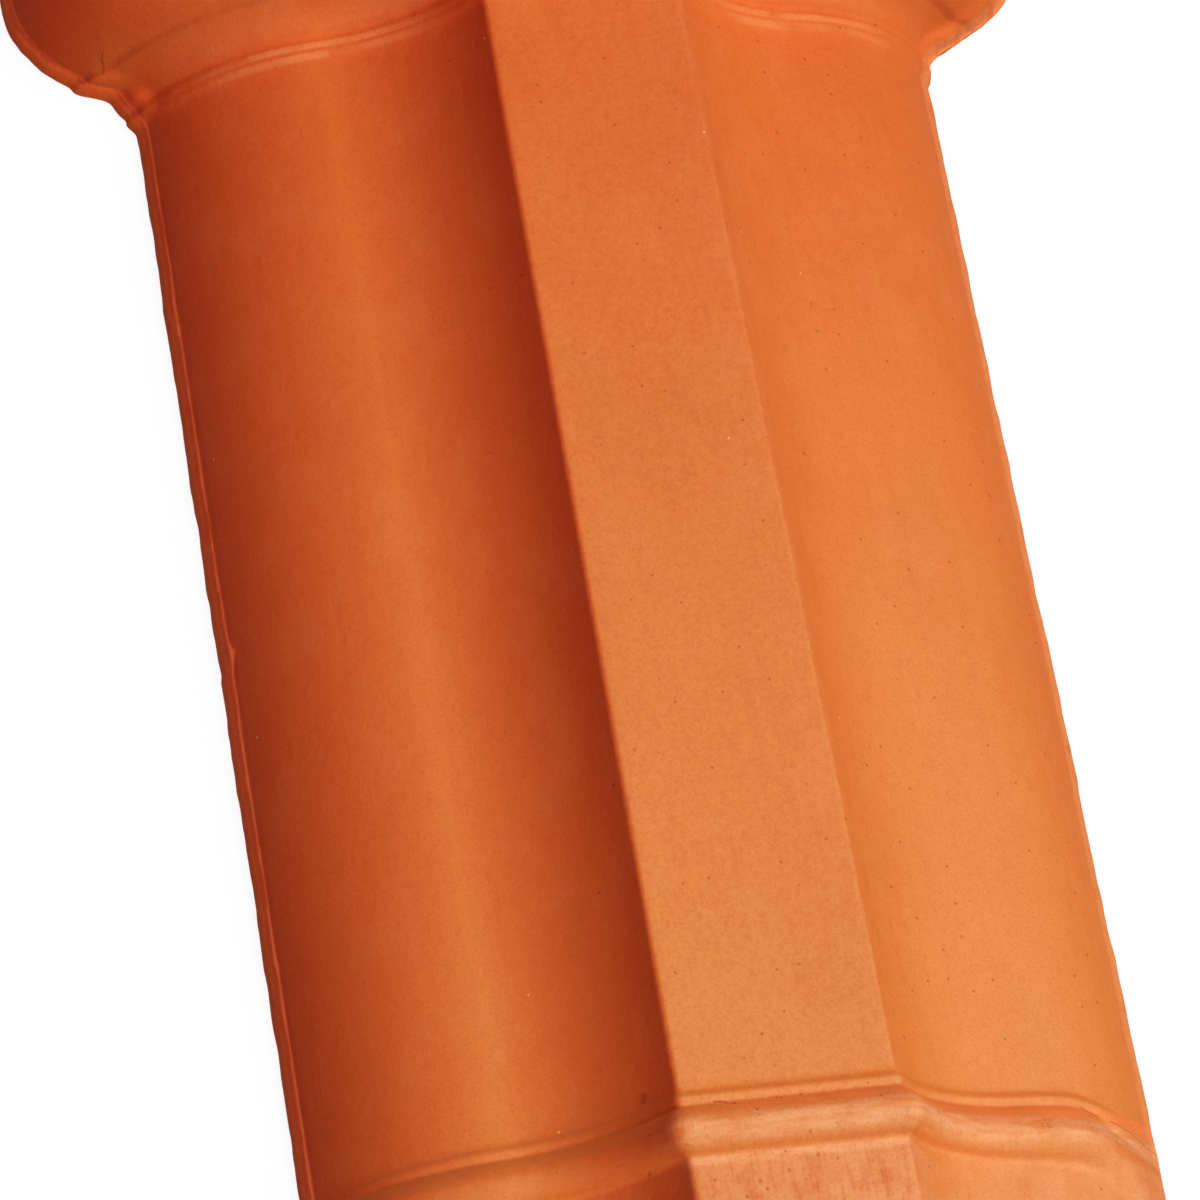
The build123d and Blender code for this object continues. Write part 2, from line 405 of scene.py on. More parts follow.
def wingOutside(ragged, bumps, browHeight, lip):
    # one wing from under its lip to the middle of the crest
    zero = 0 * ragged
    foot = footRise + lipForm["bumpOnFoot"] * bumps
    half = shoulderX + np.sqrt((shape["shoulderRadius"] + foot) ** 2 - lipDepth ** 2) + shape["lipWidth"]
    half = half - lip["inset"] + ragged
    lipRise = foot + beadNearLip(zero, lip)
    shoulder = shape["shoulderRadius"] + lipRise
    # at the collar the face stands upright, or draws back under its edge
    drawn = column(between(ringY, *lipForm["undercutRun"])) * (lip["undercut"] > 0)
    footX = half - lip["undercut"] * drawn
    edgeX = half - lip["lean"] * (1 - drawn)
    browX = shoulderX + np.sqrt(shoulder ** 2 - (browHeight - shoulderZ) ** 2)
    browX = np.minimum(browX, edgeX - lipForm["leastBrow"])
    browZ = shoulderZ + np.sqrt(shoulder ** 2 - (browX - shoulderX) ** 2)
    fallShare = (browHeight - lipForm["lowBrow"]) / (lip["browHeight"] - lipForm["lowBrow"])
    edgeZ = browZ - lip["browFall"] * np.clip(fallShare, lipForm["leastFall"], 1)
    edge, brow = (edgeX, edgeZ), (browX, browZ)
    low = (footX, zero + lipForm["toe"])
    belly = (footX + lip["belly"] * (edgeX - footX), lipForm["bellyHeight"] * edgeZ)
    high = partWay(edge, belly, lipForm["faceRound"])
    crown = partWay(edge, brow, lipForm["browRound"])
    browEnd = partWay(edge, brow, lipForm["browFlat"])
    angle = np.arctan2(browZ - shoulderZ, browX - shoulderX) + lip["blend"] / shoulder
    roll = (shoulderX + shoulder * np.cos(angle), shoulderZ + shoulder * np.sin(angle))
    counts = spacing["lip"]
    parts = [bend((footX - lipForm["toeBack"], zero), (footX, zero), low, counts["toe"])]
    parts.append(tuple(p[:, 1:-1] for p in bend(low, belly, high, counts["face"])))
    parts.append(bend(high, edge, crown, counts["edge"]))
    parts.append(along(crown, browEnd, counts["brow"]))
    parts.append(bend(browEnd, brow, roll, counts["blend"]))

    def riseAt(fromLip):
        wing = collar + beadNearLip(fromLip, lip)
        return lipRise + (wing - lipRise) * smooth(0, lipForm["riseBlend"], fromLip)

    counts = spacing["outside"]
    startAngle = angle + lipForm["rollGap"] / shoulder
    parts.append(shoulderRun(riseAt, startAngle, counts["shoulder"]))
    onBead = np.clip((rise - collar) / shape["beadHeight"], 0, 1)
    crestParts = crestRun(rise, counts, handwork["crestRound"] + handwork["beadCorner"] * onBead)
    # the bead's slip goes on over the cove
    x, z = crestParts[0]
    fromLip = (jointAngle - startAngle) * shape["shoulderRadius"] + np.hypot(x - jointX, z - jointZ)
    more = (riseAt(fromLip) - rise) / np.hypot(coveX - x, coveZ - z)
    crestParts[0] = (x + more * (coveX - x), z + more * (coveZ - z))
    parts += crestParts
    return [np.concatenate([p[axis] + zero for p in parts], 1) for axis in (0, 1)]


def wingInside():
    counts = spacing["hollow"]
    startAngle = np.arcsin(-shoulderZ / (shape["shoulderRadius"] + inner))
    parts = [shoulderRun(lambda fromFoot: inner, startAngle, counts["shoulder"])]
    parts += crestRun(inner, counts, handwork["hollowRound"])
    return [np.concatenate([p[axis] for p in parts], 1) for axis in (0, 1)]


# the trimmed edges wander in and out, with clay pushed out where they turn to the collar
wings = {}
for name, lip in lips.items():
    seed = lip["seed"]
    ragged = sum(size * waver(seed + k, ringY, gap) for k, (size, gap) in enumerate(lipForm["rag"]))
    size, gap = lipForm["cornerRag"]
    ragged = ragged + size * waver(seed + 9, ringY, gap) * between(ringY, *lipForm["cornerRun"])
    bumps = sum(mound(ringY, *bump) for bump in lip["bumps"])
    size, gap = lipForm["browWander"]
    brow = lip["browHeight"] + size * waver(seed + 3, ringY, gap)
    brow = brow - (lip["browHeight"] - lipForm["collarBrow"]) * smooth(*lipForm["browTurn"], ringY)
    brow = brow + sum(mound(ringY, *flake) for flake in lip["flakes"])
    wings[name] = wingOutside(column(ragged), column(bumps), column(brow), lip)
(rightX, rightZ), (leftX, leftZ) = wings["right"], wings["left"]
insideX, insideZ = wingInside()
crestTop, hollowTop = shape["crestHeight"] + rise, shape["crestHeight"] + inner
sectionX = np.concatenate([rightX, 0 * rise, -leftX[:, ::-1], -insideX, 0 * inner, insideX[:, ::-1]], 1)
sectionZ = np.concatenate([rightZ, crestTop, leftZ[:, ::-1], insideZ, hollowTop, insideZ[:, ::-1]], 1)
outsideCount = rightX.shape[1] + 1 + leftX.shape[1]
ringSize = sectionX.shape[1]

# the crest widens a little towards the spigot, and the coves give way to it
give = np.clip((jointX - np.abs(sectionX)) / (jointX - shape["crestHalf"]), 0, 1)
give = np.minimum(give, np.abs(sectionX) / shape["crestHalf"])
taper = handwork["crestTaper"] * column(np.clip(ringY / shape["archHalfLength"], -1, 1))
sectionX = sectionX - np.sign(sectionX) * give * taper + (sectionX > 0) * give * handwork["crestRight"]

# slow waves of the pressed skin, along the section's own normal
alongX = np.roll(sectionX, -1, 1) - np.roll(sectionX, 1, 1)
alongZ = np.roll(sectionZ, -1, 1) - np.roll(sectionZ, 1, 1)
span = np.maximum(np.hypot(alongX, alongZ), 1e-6)      # never zero
outX, outZ = alongZ / span, -alongX / span
pace = np.hypot(np.diff(sectionX, axis=1), np.diff(sectionZ, axis=1))
girth = np.concatenate([0 * rise, np.cumsum(pace, 1)], 1)
girth = girth - girth[:, [rightX.shape[1]]]
placeY = np.broadcast_to(column(ringY), sectionX.shape)
swell = sum(size * hills(seed, girth, placeY, length) for seed, size, length in handwork["waves"])
swell[:, outsideCount:] *= handwork["hollowWaves"]
swell = swell * np.clip(sectionZ / handwork["waveFoot"], 0, 1)
sectionX, sectionZ = sectionX + outX * swell, sectionZ + outZ * swell


def roundedEnd(index, turns, inward):
    # the rings that round over an end of the tile
    found = []
    for turn in turns:
        inset = handwork["endRound"] * (1 - math.cos(turn))
        back = inward * handwork["endRound"] * (1 - math.sin(turn))
        x, z = sectionX[index] - outX[index] * inset, sectionZ[index] - outZ[index] * inset
        found.append((x, ringY[index] + back, z))
    return found


endTurns = np.radians(spacing["endTurns"])
rings = roundedEnd(0, endTurns, 1)
rings += [(sectionX[k], ringY[k], sectionZ[k]) for k in range(1, ringCount - 1)]
rings += roundedEnd(-1, endTurns[::-1], -1)
points = [np.stack([x, 0 * x + y - shape["middle"], np.maximum(z, 0)], 1) for x, y, z in rings]
points = np.concatenate(points) / mmPerMetre
near = np.arange(ringSize)
after = np.roll(near, -1)
faces = []
for index in range(len(rings) - 1):
    a, b = index * ringSize, (index + 1) * ringSize
    faces += np.stack([a + near, b + near, b + after, a + after], 1).tolist()

# each end is closed by a strip between the outer and the inner line of the wall
outer, hollow = np.arange(outsideCount), np.arange(ringSize - 1, outsideCount - 1, -1)
lastOuter, lastHollow = len(outer) - 1, len(hollow) - 1
for first, flip in ((0, False), ((len(rings) - 1) * ringSize, True)):
    i, j = 0, 0
    while i < lastOuter or j < lastHollow:
        outerLags = (i + 1) / len(outer) <= (j + 1) / len(hollow)
        stepOuter = j == lastHollow or (i < lastOuter and outerLags)
        third = outer[i + 1] if stepOuter else hollow[j + 1]
        corners = [first + int(c) for c in (outer[i], third, hollow[j])]
        faces.append(corners[::-1] if flip else corners)
        i, j = (i + 1, j) if stepOuter else (i, j + 1)
tileMesh = bpy.data.meshes.new("firedRidgeTile")
tileMesh.from_pydata(points.tolist(), [], faces)
tileMesh.validate()
tileMesh.shade_smooth()
ridgeTile = bpy.data.objects.new("fired_ridge_tile", tileMesh)
bpy.context.scene.collection.objects.link(ridgeTile)
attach(ridgeTile, "root")
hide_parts("ridge_tile")
triangles = sum(len(f) - 2 for f in faces)
print("ridge tile:", len(rings), "rings of", ringSize, "points,", triangles, "triangles")

# fired terracotta, pressed in a mould and trimmed: a dull dry skin, a fine sandy grain,
# faint clouds of redder and paler clay from the kiln, and some painted shade, sheen and highlights
clay = {
    "collarEnd": "#D36526",    # the collar end came out redder
    "spigotEnd": "#DA7B33",    # the spigot end paler
    "bodyRun": (210.0, -174.0),
    "flush": "#FF9E95",        # painted shade: deeper red and darker on the left flank, which faces away from the key light
    "flushRun": (0.0, -1.0),
    "paintedSheen": "#DD965B",        # painted sheen: paler where the surface faces between the key light and the eye, most at the spigot end
    "sheenFacing": (0.18, -0.45, 0.875),
    "sheenWindow": (0.66, 1.0),
    # how it thins out along the ridge and on the left: axis, from, to, share there and there
    "sheenRuns": [("y", 130.0, -175.0, 0.0, 0.78), ("across", -0.3, 0.0, 0.4, 1.0)],
    "crack": "#9C380E",
    "crackStrength": 0.7,
    "roughness": 0.72,
    "ior": 1.5,
    "specular": 0.25,
}

# where on the tile a mark shows, painted light and shade among them: windows on place in mm, or on the way
# the surface faces
spots = {
    "outside": [("up", 0.0, 0.2)],
    "crest": [("z", 64.6, 66.0)],
    "crestEdge": [("z", 62.5, 65.2), ("x", 14.0, 27.0)],
    "bead": [("y", -174.5, -171.5), ("y", -165.0, -168.0), ("x", -38.0, -24.0), ("up", 0.0, 0.2)],
    # mask for painted light on the bead's shaded side towards the listel
    "beadBackLight": [("y", -167.5, -164.0), ("y", -162.0, -162.7), ("x", -30.0, -18.0), ("up", 0.0, 0.2)],
    "spigotCrest": [("y", -175.6, -176.4), ("z", 64.6, 66.0)],
    "spigotWing": [("y", -175.6, -178.0), ("x", -40.0, 20.0), ("up", 0.0, 0.2)],
    # mask for a painted highlight on the spigot's edge
    "spigotRootHighlight": [("y", -178.8, -177.0), ("y", -175.6, -176.2), ("side", 31.0, 26.0), ("up", 0.0, 0.2)],
    "leftCove": [("x", -50.0, -34.0), ("up", 0.1, 0.4)],
    # masks for painted shade with dust in the crease and at its end
    "crease": [("y", 171.5, 172.1), ("y", 172.9, 172.3), ("up", 0.0, 0.2)],
    "creaseEndDustAndShade": [("y", 171.3, 172.1), ("y", 173.2, 172.3), ("side", 108.0, 122.0), ("up", 0.0, 0.2)],
    # masks for painted highlights on the far listel and the edge beside it
    "farListelHighlight": [("y", 156.8, 158.0), ("y", 159.6, 159.0), ("side", 34.0, 60.0), ("side", 104.0, 78.0),
                  ("up", 0.0, 0.2)],
    "farEdgeHighlight": [("y", 160.1, 160.6), ("y", 162.4, 161.7), ("side", 34.0, 60.0), ("side", 106.0, 80.0),
                ("up", 0.0, 0.2)],
    "collar": [("y", 163.0, 166.5), ("side", 116.0, 84.0), ("up", 0.0, 0.2)],
    "rightLip": [("x", 108.6, 110.6), ("z", 11.0, 8.6)],
    # mask for painted fill light on the left lip's outer face
    "leftLipFillLight": [("x", -106.0, -109.0), ("z", 6.6, 6.0), ("up", 0.75, 0.5)],
    # mask for painted shade on the left lip's brow
    "leftBrowShade": [("x", -107.0, -110.0), ("z", 8.2, 6.8), ("up", 0.42, 0.6)],
}

# faint colour changes: size across and along the ridge in mm, window of the noise, tint, and how it lies on
clouds = [
    {"size": (42.0, 60.0), "shift": 3.0, "detail": 2.0, "window": (0.42, 0.66),
     "tint": "#F3D9D0", "blend": "MULTIPLY", "strength": 0.16},
    {"size": (15.0, 21.0), "shift": 31.0, "detail": 3.0, "window": (0.45, 0.70),
     "tint": "#EFA56C", "blend": "MIX", "strength": 0.05},
    {"size": (5.0, 6.5), "shift": 12.0, "detail": 3.0, "window": (0.40, 0.66),
     "tint": "#EFD2C6", "blend": "MULTIPLY", "strength": 0.11},
    {"spot": "crest", "size": (1.7, 2.0), "shift": 14.0, "detail": 2.0, "window": (0.38, 0.66),
     "tint": "#EFCAA8", "blend": "MULTIPLY", "strength": 0.22},
    # streaks from the mould
    {"size": (3.5, 70.0), "shift": 8.0, "detail": 3.0, "window": (0.45, 0.70),
     "tint": "#EFD2C6", "blend": "MULTIPLY", "strength": 0.10},
    # rubbed and dried places
    {"spot": "crestEdge", "size": (7.0, 12.0), "shift": 17.0, "detail": 4.0, "window": (0.36, 0.60),
     "tint": "#EBA274", "blend": "MIX", "strength": 0.07},
    {"spot": "bead", "size": (11.0, 2.2), "shift": 23.0, "detail": 4.0, "window": (0.22, 0.72),
     "tint": "#F4BC8C", "blend": "MIX", "strength": 0.44},
    {"spot": "spigotCrest", "size": (8.0, 20.0), "shift": 41.0, "detail": 3.0, "window": (0.30, 0.55),
     "tint": "#F2B07C", "blend": "MIX", "strength": 0.14},
    {"spot": "spigotCrest", "size": (6.0, 4.5), "shift": 43.0, "detail": 4.0, "window": (0.52, 0.66),
     "tint": "#ECA47E", "blend": "MULTIPLY", "strength": 0.32},
    {"spot": "spigotWing", "size": (9.0, 9.0), "shift": 47.0, "detail": 3.0, "window": (0.15, 0.75),
     "tint": "#F2B07E", "blend": "MIX", "strength": 0.28},
    {"spot": "spigotCrest", "size": (1.1, 12.0), "shift": 53.0, "detail": 4.0, "window": (0.48, 0.68),
     "tint": "#E6AC8C", "blend": "MULTIPLY", "strength": 0.28},
    # dust and painted shade in the creases, paler clay on the collar, a worn right lip, and painted light
    # and shade on other edges of the mouldings and lips
    {"spot": "crease", "size": (9.0, 9.0), "shift": 71.0, "detail": 2.0, "window": (0.10, 0.60),
     "tint": "#C88468", "blend": "MULTIPLY", "strength": 0.25},
    {"spot": "creaseEndDustAndShade", "size": (9.0, 9.0), "shift": 73.0, "detail": 2.0, "window": (0.10, 0.50),
     "tint": "#C88468", "blend": "MULTIPLY", "strength": 0.3},
    {"spot": "collar", "size": (20.0, 14.0), "shift": 79.0, "detail": 3.0, "window": (0.15, 0.70),
     "tint": "#EFA064", "blend": "MIX", "strength": 0.16},
    # painted highlight where the spigot's edge catches the light
    {"spot": "spigotRootHighlight", "size": (9.0, 3.0), "shift": 89.0, "detail": 3.0, "window": (0.20, 0.60),
     "tint": "#F4BC8C", "blend": "MIX", "strength": 0.40},
    # painted highlights where the far listel and edge face the light
    {"spot": "farListelHighlight", "size": (14.0, 9.0), "shift": 77.0, "detail": 2.0, "window": (0.20, 0.60),
     "tint": "#EFA064", "blend": "MIX", "strength": 0.34},
    {"spot": "farEdgeHighlight", "size": (14.0, 9.0), "shift": 83.0, "detail": 2.0, "window": (0.20, 0.60),
     "tint": "#EFA064", "blend": "MIX", "strength": 0.34},
    {"spot": "rightLip", "size": (3.0, 9.0), "shift": 61.0, "detail": 3.0, "window": (0.25, 0.50),
     "tint": "#EFA066", "blend": "MIX", "strength": 0.35},
    # painted fill light on the left lip's outer face, which the lamps leave dark
    {"spot": "leftLipFillLight", "size": (3.0, 9.0), "shift": 63.0, "detail": 2.0, "window": (0.05, 0.45),
     "tint": "#FF7030", "blend": "MIX", "strength": 0.60},
    # painted shade on the left lip's brow, which faces up into the key light
    {"spot": "leftBrowShade", "size": (3.0, 9.0), "shift": 67.0, "detail": 2.0, "window": (0.05, 0.45),
     "tint": "#E4C8E8", "blend": "MULTIPLY", "strength": 1.0},
    # painted light on the bead's shaded side towards the listel, redder and brighter
    {"spot": "beadBackLight", "size": (12.0, 4.0), "shift": 97.0, "detail": 3.0, "window": (0.20, 0.60),
     "tint": "#FF8046", "blend": "MIX", "strength": 0.45},
]
cloudRoughness = 0.55
clayMaterial = bpy.data.materials.new("firedTerracotta")
clayMaterial.use_nodes = True
tree = clayMaterial.node_tree
tree.nodes.clear()
place = addNode(tree, "ShaderNodeTexCoord")
toMm = {"operation": "MULTIPLY_ADD", 1: [mmPerMetre] * 3, 2: (0, shape["middle"], 0)}
mm = addNode(tree, "ShaderNodeVectorMath", toMm, {0: place.outputs["Object"]}).outputs[0]
axes = addNode(tree, "ShaderNodeSeparateXYZ", None, {0: mm})
facing = addNode(tree, "ShaderNodeSeparateXYZ", None, {0: place.outputs["Normal"]})
fromMiddle = addNode(tree, "ShaderNodeMath", {"operation": "ABSOLUTE"}, {0: axes.outputs[0]})
measure = {
    "x": axes.outputs[0],
    "y": axes.outputs[1],
    "z": axes.outputs[2],
    "side": fromMiddle.outputs[0],
    "across": facing.outputs[0],
    "up": facing.outputs[2],
}
spotShare = {}
for name, windows in spots.items():
    share = None
    for axis, low, high in windows:
        ramp = addNode(tree, "ShaderNodeMapRange",
                       {"interpolation_type": "SMOOTHSTEP", "From Min": low, "From Max": high},
                       {"Value": measure[axis]}).outputs[0]
        if share is not None:
            ramp = addNode(tree, "ShaderNodeMath", {"operation": "MULTIPLY"}, {0: share, 1: ramp}).outputs[0]
        share = ramp
    spotShare[name] = share

# the body colour runs from end to end, painted shade reddens the left-facing flank, and a painted sheen lies
# on what faces up
low, high = clay["bodyRun"]
toSpigot = addNode(tree, "ShaderNodeMapRange", {"From Min": low, "From Max": high}, {"Value": measure["y"]})
ends = {6: hexToLinear(clay["collarEnd"]), 7: hexToLinear(clay["spigotEnd"])}
color = addNode(tree, "ShaderNodeMix", {"data_type": "RGBA", **ends}, {0: toSpigot.outputs[0]}).outputs[2]
low, high = clay["flushRun"]
toShadedFlank = addNode(tree, "ShaderNodeMapRange", {"From Min": low, "From Max": high},
                  {"Value": measure["across"]})
color = addNode(tree, "ShaderNodeMix",
                {"data_type": "RGBA", "blend_type": "MULTIPLY", 7: hexToLinear(clay["flush"])},
                {0: toShadedFlank.outputs[0], 6: color}).outputs[2]
# painted sheen: more of it where the normal turns towards the key light and the eye
towardSheen = addNode(tree, "ShaderNodeVectorMath", {"operation": "DOT_PRODUCT", 1: clay["sheenFacing"]},
                   {0: place.outputs["Normal"]})
low, high = clay["sheenWindow"]
amount = addNode(tree, "ShaderNodeMapRange",
                 {"interpolation_type": "SMOOTHSTEP", "From Min": low, "From Max": high},
                 {"Value": towardSheen.outputs["Value"]}).outputs[0]
for axis, low, high, least, most in clay["sheenRuns"]:
    ramp = addNode(tree, "ShaderNodeMapRange",
                   {"From Min": low, "From Max": high, "To Min": least, "To Max": most},
                   {"Value": measure[axis]}).outputs[0]
    amount = addNode(tree, "ShaderNodeMath", {"operation": "MULTIPLY"}, {0: amount, 1: ramp}).outputs[0]
color = addNode(tree, "ShaderNodeMix", {"data_type": "RGBA", 7: hexToLinear(clay["paintedSheen"])},
                {0: amount, 6: color}).outputs[2]

for cloud in clouds:
    across, lengthwise = cloud["size"]
    scale = (1 / across, 1 / lengthwise, 1 / across)
    stretched = addNode(tree, "ShaderNodeVectorMath",
                        {"operation": "MULTIPLY_ADD", 1: scale, 2: [cloud["shift"]] * 3}, {0: mm})
    # on a small spot it is drawn in plan, which takes less time
    dimensions = "2D" if "spot" in cloud else "3D"
    noise = addNode(tree, "ShaderNodeTexNoise",
                    {"noise_dimensions": dimensions, "Scale": 1.0, "Detail": cloud["detail"],
                     "Roughness": cloudRoughness},
                    {"Vector": stretched.outputs[0]})
    low, high = cloud["window"]
    amount = addNode(tree, "ShaderNodeMapRange",
                     {"interpolation_type": "SMOOTHSTEP", "From Min": low, "From Max": high,
                      "To Max": cloud["strength"]},
                     {"Value": noise.outputs["Fac"]}).outputs[0]
    if "spot" in cloud:
        amount = addNode(tree, "ShaderNodeMath", {"operation": "MULTIPLY"},
                         {0: amount, 1: spotShare[cloud["spot"]]}).outputs[0]
    color = addNode(tree, "ShaderNodeMix",
                    {"data_type": "RGBA", "blend_type": cloud["blend"], 7: hexToLinear(cloud["tint"])},
                    {0: amount, 6: color}).outputs[2]

# sand grain of 0.2 to 0.5 mm, drawn at 0.75 mm so that it shows, and the soft peel of the mould's skin
skins = [
    {"size": 0.75, "relief": 0.08, "tint": "#F1DAA0", "strength": 0.50},
    {"size": 2.4, "relief": 0.17, "tint": "#EAD0A8", "strength": 0.15},
]
skinForm = {"detail": 2.0, "roughness": 0.6, "window": (0.42, 0.72)}
height = None
for skin in skins:
    finer = addNode(tree, "ShaderNodeVectorMath", {"operation": "SCALE", "Scale": 1 / skin["size"]}, {0: mm})
    noise = addNode(tree, "ShaderNodeTexNoise",
                    {"Scale": 1.0, "Detail": skinForm["detail"], "Roughness": skinForm["roughness"]},
                    {"Vector": finer.outputs[0]})
    low, high = skinForm["window"]
    amount = addNode(tree, "ShaderNodeMapRange",
                     {"interpolation_type": "SMOOTHSTEP", "From Min": low, "From Max": high,
                      "To Max": skin["strength"]},
                     {"Value": noise.outputs["Fac"]}).outputs[0]
    color = addNode(tree, "ShaderNodeMix",
                    {"data_type": "RGBA", "blend_type": "MULTIPLY", 7: hexToLinear(skin["tint"])},
                    {0: amount, 6: color}).outputs[2]
    part = addNode(tree, "ShaderNodeMath", {"operation": "MULTIPLY", 1: skin["relief"]},
                   {0: noise.outputs["Fac"]}).outputs[0]
    if height is not None:
        part = addNode(tree, "ShaderNodeMath", {"operation": "ADD"}, {0: height, 1: part}).outputs[0]
    height = part

# pits left by burnt-out grains, and pale grains of lime: one in a share of the cells of that many mm
grains = [
    {"cell": 3.4, "radius": 0.26, "share": 0.12, "tint": "#8A3414", "strength": 0.40},
    {"cell": 7.5, "radius": 0.36, "share": 0.035, "tint": "#9C3A10", "strength": 0.42, "spot": "crest"},
    {"cell": 6.5, "radius": 0.40, "share": 0.10, "tint": "#6A240E", "strength": 0.45, "spot": "leftCove"},
    {"cell": 4.0, "radius": 0.50, "share": 0.14, "tint": "#B8501E", "strength": 0.55, "spot": "spigotCrest",
     "relief": -0.16},
    {"cell": 9.0, "radius": 0.30, "share": 0.22, "tint": "#F4C79A", "strength": 0.75},
]
grainShift = 5.3
rimOuter, rimInner = 1.5, 0.5      # a dot fades out between these shares of its radius
for index, grain in enumerate(grains):
    scale, shift = [1 / grain["cell"]] * 3, [grainShift * index] * 3
    moved = addNode(tree, "ShaderNodeVectorMath", {"operation": "MULTIPLY_ADD", 1: scale, 2: shift}, {0: mm})
    dimensions = "2D" if "spot" in grain else "3D"
    cells = addNode(tree, "ShaderNodeTexVoronoi", {"voronoi_dimensions": dimensions, "Scale": 1.0},
                    {"Vector": moved.outputs[0]})
    chance = addNode(tree, "ShaderNodeSeparateColor", None, {0: cells.outputs["Color"]})
    chosen = addNode(tree, "ShaderNodeMath", {"operation": "LESS_THAN", 1: grain["share"]},
                     {0: chance.outputs[0]}).outputs[0]
    if "spot" in grain:
        chosen = addNode(tree, "ShaderNodeMath", {"operation": "MULTIPLY"},
                         {0: chosen, 1: spotShare[grain["spot"]]}).outputs[0]
    radius = grain["radius"] / grain["cell"]
    disc = addNode(tree, "ShaderNodeMapRange",
                   {"interpolation_type": "SMOOTHSTEP", "From Min": rimOuter * radius,
                    "From Max": rimInner * radius},
                   {"Value": cells.outputs["Distance"]})
    dot = addNode(tree, "ShaderNodeMath", {"operation": "MULTIPLY"},
                  {0: disc.outputs[0], 1: chosen}).outputs[0]
    amount = addNode(tree, "ShaderNodeMath", {"operation": "MULTIPLY", 1: grain["strength"]},
                     {0: dot}).outputs[0]
    color = addNode(tree, "ShaderNodeMix", {"data_type": "RGBA", 7: hexToLinear(grain["tint"])},
                    {0: amount, 6: color}).outputs[2]
    if "relief" in grain:
        height = addNode(tree, "ShaderNodeMath", {"operation": "MULTIPLY_ADD", 1: grain["relief"]},
                         {0: dot, 2: height}).outputs[0]

# drying cracks and chips, as lines in plan: start and run in mm, half width
cracks = [
    {"start": (-19.5, -161.6), "run": (5.0, -1.6), "half": 0.38},
    {"start": (-34.9, -156.6), "run": (0.3, 1.4), "half": 0.90},
    {"start": (86.0, -162.0), "run": (5.0, -2.2), "half": 0.26},
    {"start": (95.0, -164.8), "run": (12.5, -3.4), "half": 0.22},
    {"start": (-123.5, 171.6), "run": (-0.6, 2.6), "half": 0.40},
]
crackForm = {"wobble": 1.6, "wobbleSize": 2.5, "detail": 2.0, "core": 0.3}
wobble = addNode(tree, "ShaderNodeTexNoise",
                 {"Scale": 1 / crackForm["wobbleSize"], "Detail": crackForm["detail"]}, {"Vector": mm})
shake = (crackForm["wobble"], crackForm["wobble"], 0)
shaken = addNode(tree, "ShaderNodeVectorMath", {"operation": "MULTIPLY_ADD", 1: shake},
                 {0: wobble.outputs["Color"], 2: mm})
flat = addNode(tree, "ShaderNodeVectorMath", {"operation": "MULTIPLY", 1: (1, 1, 0)}, {0: shaken.outputs[0]})
cracked = None
for crack in cracks:
    # the wobble's mean is half its size
    start, run = Vector((*crack["start"], 0)) + Vector(shake) / 2, Vector((*crack["run"], 0))
    away = addNode(tree, "ShaderNodeVectorMath", {"operation": "SUBTRACT", 1: start}, {0: flat.outputs[0]})
    share = addNode(tree, "ShaderNodeVectorMath", {"operation": "DOT_PRODUCT", 1: run / run.length_squared},
                    {0: away.outputs[0]})
    held = addNode(tree, "ShaderNodeClamp", None, {0: share.outputs["Value"]})
    nearest = addNode(tree, "ShaderNodeVectorMath", {"operation": "SCALE", 0: run},
                      {"Scale": held.outputs[0]})
    gap = addNode(tree, "ShaderNodeVectorMath", {"operation": "DISTANCE"},
                  {0: away.outputs[0], 1: nearest.outputs[0]})
    line = addNode(tree, "ShaderNodeMapRange",
                   {"interpolation_type": "SMOOTHSTEP", "From Min": crack["half"],
                    "From Max": crackForm["core"] * crack["half"]},
                   {"Value": gap.outputs["Value"]}).outputs[0]
    if cracked is not None:
        line = addNode(tree, "ShaderNodeMath", {"operation": "MAXIMUM"}, {0: cracked, 1: line}).outputs[0]
    cracked = line

# hair cracks across the bead, where the level of a stretched noise is crossed, in patches
hairs = {
    "size": (5.5, 16.0), "detail": 3.0, "roughness": 0.6, "level": 0.5, "width": 0.012,
    "patch": 8.0, "patchDetail": 1.0, "patchWindow": (0.52, 0.60), "strength": 0.34,
}
across, lengthwise = hairs["size"]
scale = (1 / across, 1 / lengthwise, 1 / across)
stretched = addNode(tree, "ShaderNodeVectorMath", {"operation": "MULTIPLY", 1: scale}, {0: mm})
noise = addNode(tree, "ShaderNodeTexNoise",
                {"Scale": 1.0, "Detail": hairs["detail"], "Roughness": hairs["roughness"]},
                {"Vector": stretched.outputs[0]})
hair = addNode(tree, "ShaderNodeMath", {"operation": "COMPARE", 1: hairs["level"], 2: hairs["width"]},
               {0: noise.outputs["Fac"]}).outputs[0]
wider = addNode(tree, "ShaderNodeVectorMath", {"operation": "SCALE", "Scale": 1 / hairs["patch"]}, {0: mm})
noise = addNode(tree, "ShaderNodeTexNoise", {"Scale": 1.0, "Detail": hairs["patchDetail"]},
                {"Vector": wider.outputs[0]})
low, high = hairs["patchWindow"]
patch = addNode(tree, "ShaderNodeMapRange",
                {"From Min": low, "From Max": high, "To Max": hairs["strength"]},
                {"Value": noise.outputs["Fac"]}).outputs[0]
for share in (spotShare["bead"], patch):
    hair = addNode(tree, "ShaderNodeMath", {"operation": "MULTIPLY"}, {0: hair, 1: share}).outputs[0]
cracked = addNode(tree, "ShaderNodeMath", {"operation": "MAXIMUM"}, {0: cracked, 1: hair}).outputs[0]
cracked = addNode(tree, "ShaderNodeMath", {"operation": "MULTIPLY"},
                  {0: cracked, 1: spotShare["outside"]}).outputs[0]
